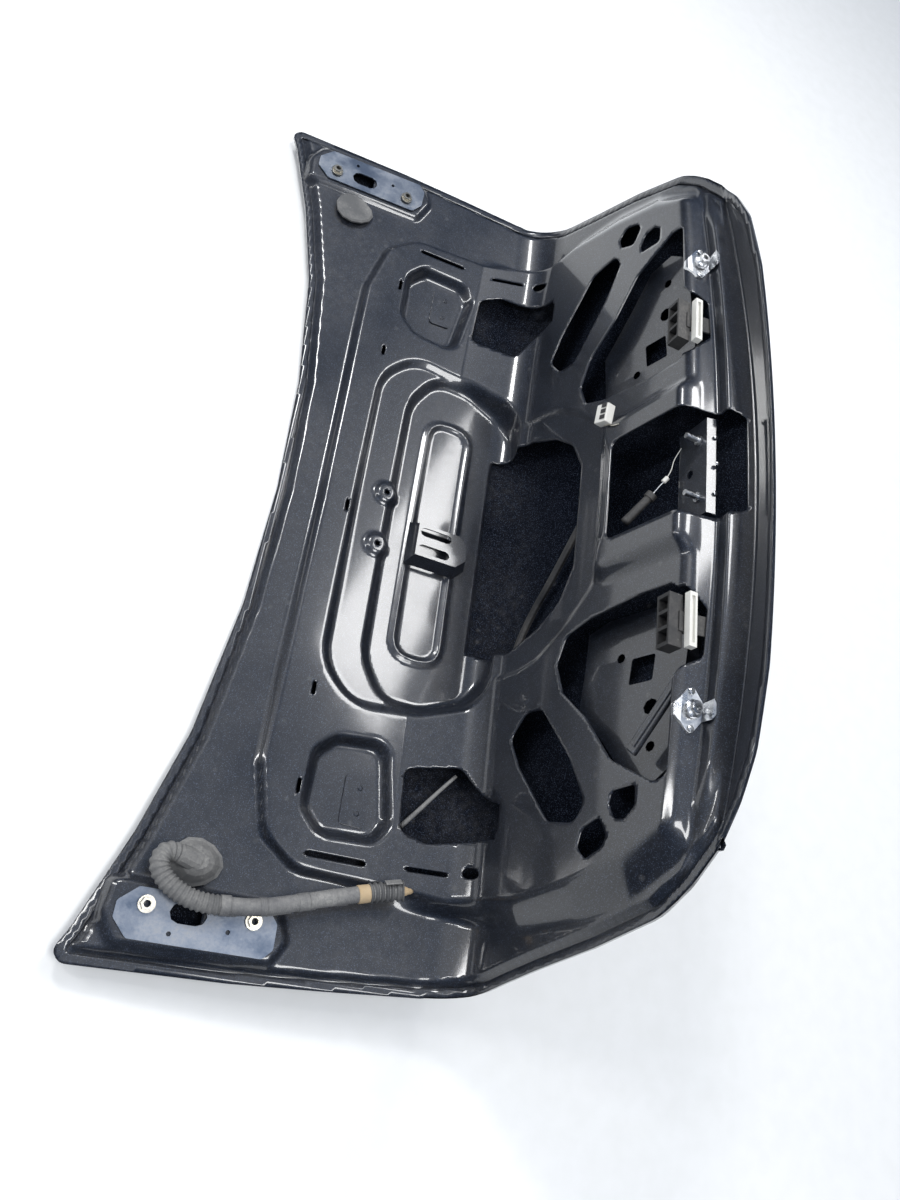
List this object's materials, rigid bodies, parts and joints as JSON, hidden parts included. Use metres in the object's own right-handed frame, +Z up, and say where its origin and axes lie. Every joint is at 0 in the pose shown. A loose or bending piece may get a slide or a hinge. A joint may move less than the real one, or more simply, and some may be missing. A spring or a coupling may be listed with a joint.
{
  "type": "car trunk lid",
  "caption": "Stamped steel trunk lid seen from its inner side: crowned outer skin, pierced inner panel, hinge plates, wiring grommet with cut loom and latch studs.",
  "frame": {"origin": "bottom centre of the lid as it lies on its outer skin, inner side up", "axes": "+X from the hinge edge to the rear face, +Y across the car towards its left side, +Z up, away from the outer skin"},
  "size_m": [0.6526, 1.403, 0.5106],
  "materials": {
    "black_plastic": "moulded, dusty",
    "body_paint": "glossy dark blue-black clear coat over metallic flake, dusty and scratched",
    "bright_steel": "zinc plated, slightly tarnished",
    "grey_rubber": "weathered grey-black rubber",
    "nut_steel": "dull zinc",
    "white_plastic": "moulded, slightly dirty",
    "zinc_steel": "bluish passivated zinc"
  },
  "bodies": {
    "root": {"blanking_plug": "grey_rubber", "bump_bushing_left": "bright_steel", "bump_bushing_right": "bright_steel", "bump_plate_left": "bright_steel", "bump_plate_right": "bright_steel", "bump_rivet_inner_left": "bright_steel", "bump_rivet_inner_right": "bright_steel", "bump_rivet_outer_left": "bright_steel", "bump_rivet_outer_right": "bright_steel", "centre_bracket": "body_paint", "hinge_nut_front_left": "nut_steel", "hinge_nut_front_right": "nut_steel", "hinge_nut_rear_left": "nut_steel", "hinge_nut_rear_right": "nut_steel", "hinge_plate_left": "zinc_steel", "hinge_plate_right": "zinc_steel", "inner_harness": "black_plastic", "inner_panel": "body_paint", "lamp_bracket_left": "black_plastic", "lamp_bracket_right": "black_plastic", "lamp_connector_left": "white_plastic", "lamp_connector_right": "white_plastic", "lamp_panel_left": "body_paint", "lamp_panel_right": "body_paint", "latch_plate": "body_paint", "latch_stud_left": "bright_steel", "latch_stud_right": "bright_steel", "outer_skin": "body_paint", "pocket_bracket_left": "body_paint", "pocket_bracket_right": "body_paint", "wiring_boot": "grey_rubber", "wiring_conduit": "black_plastic", "wiring_grommet": "grey_rubber", "wiring_sleeve": "grey_rubber"}
  },
  "joints": []
}
